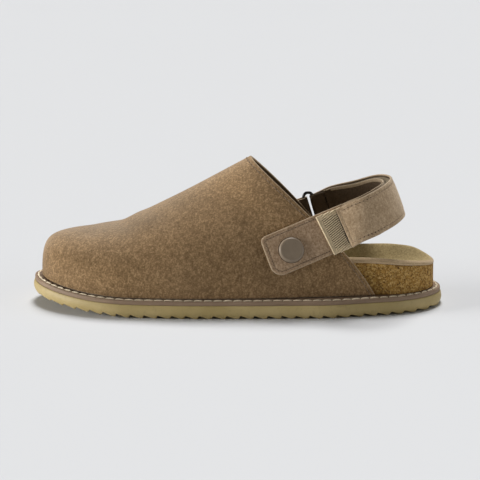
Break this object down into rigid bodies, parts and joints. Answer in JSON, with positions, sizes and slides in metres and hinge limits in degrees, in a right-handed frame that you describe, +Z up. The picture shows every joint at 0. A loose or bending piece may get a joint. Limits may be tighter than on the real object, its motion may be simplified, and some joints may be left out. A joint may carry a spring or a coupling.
{
  "type": "suede clog",
  "caption": "Closed-toe suede clog for the left foot, with a cork footbed, a saw-tooth rubber sole and a padded heel strap held by a snap tab and a wire ring.",
  "frame": {"origin": "on the floor under the middle of the shoe's bounding box", "axes": "+X from the toe to the heel, +Z up, -Y towards the outer side of the foot"},
  "size_m": [0.282, 0.1064, 0.1014],
  "materials": {
    "gum_rubber": "matte gum rubber",
    "welt_board": "smooth taupe leather board",
    "cork": "granular pressed cork",
    "lining_suede": "soft beige suede lining",
    "suede": "napped taupe suede",
    "elastic": "ribbed beige webbing",
    "gunmetal": "dark gunmetal plating",
    "snap_paint": "matte taupe enamel"
  },
  "bodies": {
    "root": {"outsole": "gum_rubber", "welt": "welt_board", "footbed": "cork", "insole": "lining_suede", "upper": "suede", "strap_tab": "suede", "snap_cap": "snap_paint", "webbing": "elastic", "heel_strap": "suede", "ring": "gunmetal", "ring_tab": "suede"}
  },
  "joints": []
}
